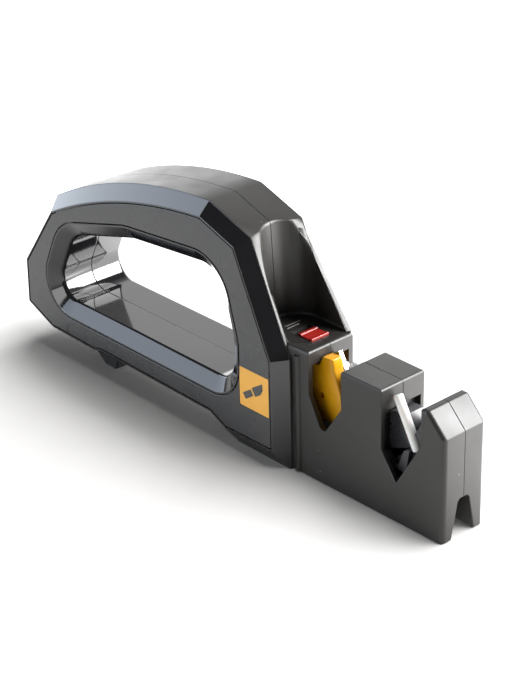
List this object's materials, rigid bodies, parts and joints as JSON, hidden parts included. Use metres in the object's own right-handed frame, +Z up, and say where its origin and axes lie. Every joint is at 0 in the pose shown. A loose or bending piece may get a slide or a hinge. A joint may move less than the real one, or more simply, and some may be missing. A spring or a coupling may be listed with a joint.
{
  "type": "manual knife sharpener",
  "caption": "Hand-held pull-through knife sharpener with a closed hand grip, a carbide notch and a ceramic notch on sprung pivots, and a sliding selector.",
  "frame": {"origin": "middle of the footprint, on the bench plane", "axes": "+X towards the nose, +Y to the right of the nose, +Z up; the two body halves meet on y = 0"},
  "size_m": [0.261, 0.041, 0.1073],
  "materials": {
    "body_textured": "fine spark-textured charcoal moulding",
    "cover_gloss": "polished black moulding",
    "panel_satin": "satin dark grey plate",
    "badge_yellow": "golden yellow plate, bare",
    "foot_rubber": "matt black rubber",
    "steel": "zinc plated steel",
    "selector_red": "semi-gloss red moulding",
    "inner_plastic": "plain dark moulding",
    "spring_steel": "bare spring steel",
    "carriage_yellow": "yellow moulding",
    "carriage_black": "semi-gloss black moulding",
    "carbide": "ground hard metal",
    "ceramic": "fine off-white ceramic"
  },
  "bodies": {
    "base": {"left_body": "body_textured", "right_body": "body_textured", "left_grip_cover": "cover_gloss", "right_grip_cover": "cover_gloss", "left_side_panel": "panel_satin", "right_side_panel": "panel_satin", "badge": "badge_yellow", "rear_foot": "foot_rubber", "body_screws": "steel", "selector_spring": "spring_steel", "carbide_pivot_pin": "steel", "carbide_spring": "spring_steel", "ceramic_pivot_pin": "steel", "ceramic_spring": "spring_steel"},
    "carbide_stage": {"carbide_carriage": "carriage_yellow", "carbide_cutter_rear": "carbide", "carbide_cutter_front": "carbide", "cutter_screws": "steel"},
    "ceramic_stage": {"ceramic_carriage": "carriage_black", "ceramic_rod_rear": "ceramic", "ceramic_rod_front": "ceramic"},
    "selector": {"selector_button": "selector_red", "selector_shoe": "inner_plastic"}
  },
  "joints": [
    {"name": "carbide_pivot", "type": "hinge", "parent": "base", "child": "carbide_stage", "pos_m": [0.0662, 0, 0.029], "axis": [1, 0, 0], "range_deg": [-7, 7], "stiffness_Nm_per_rad": 0.05, "deforming": ["carbide_spring"]},
    {"name": "ceramic_pivot", "type": "hinge", "parent": "base", "child": "ceramic_stage", "pos_m": [0.10795, 0, 0.025], "axis": [1, 0, 0], "range_deg": [-8, 8], "stiffness_Nm_per_rad": 0.05, "deforming": ["ceramic_spring"]},
    {"name": "selector_slide", "type": "slide", "parent": "base", "child": "selector", "axis": [1, 0, 0], "range_m": [-0.004, 0], "deforming": ["selector_spring"]}
  ]
}
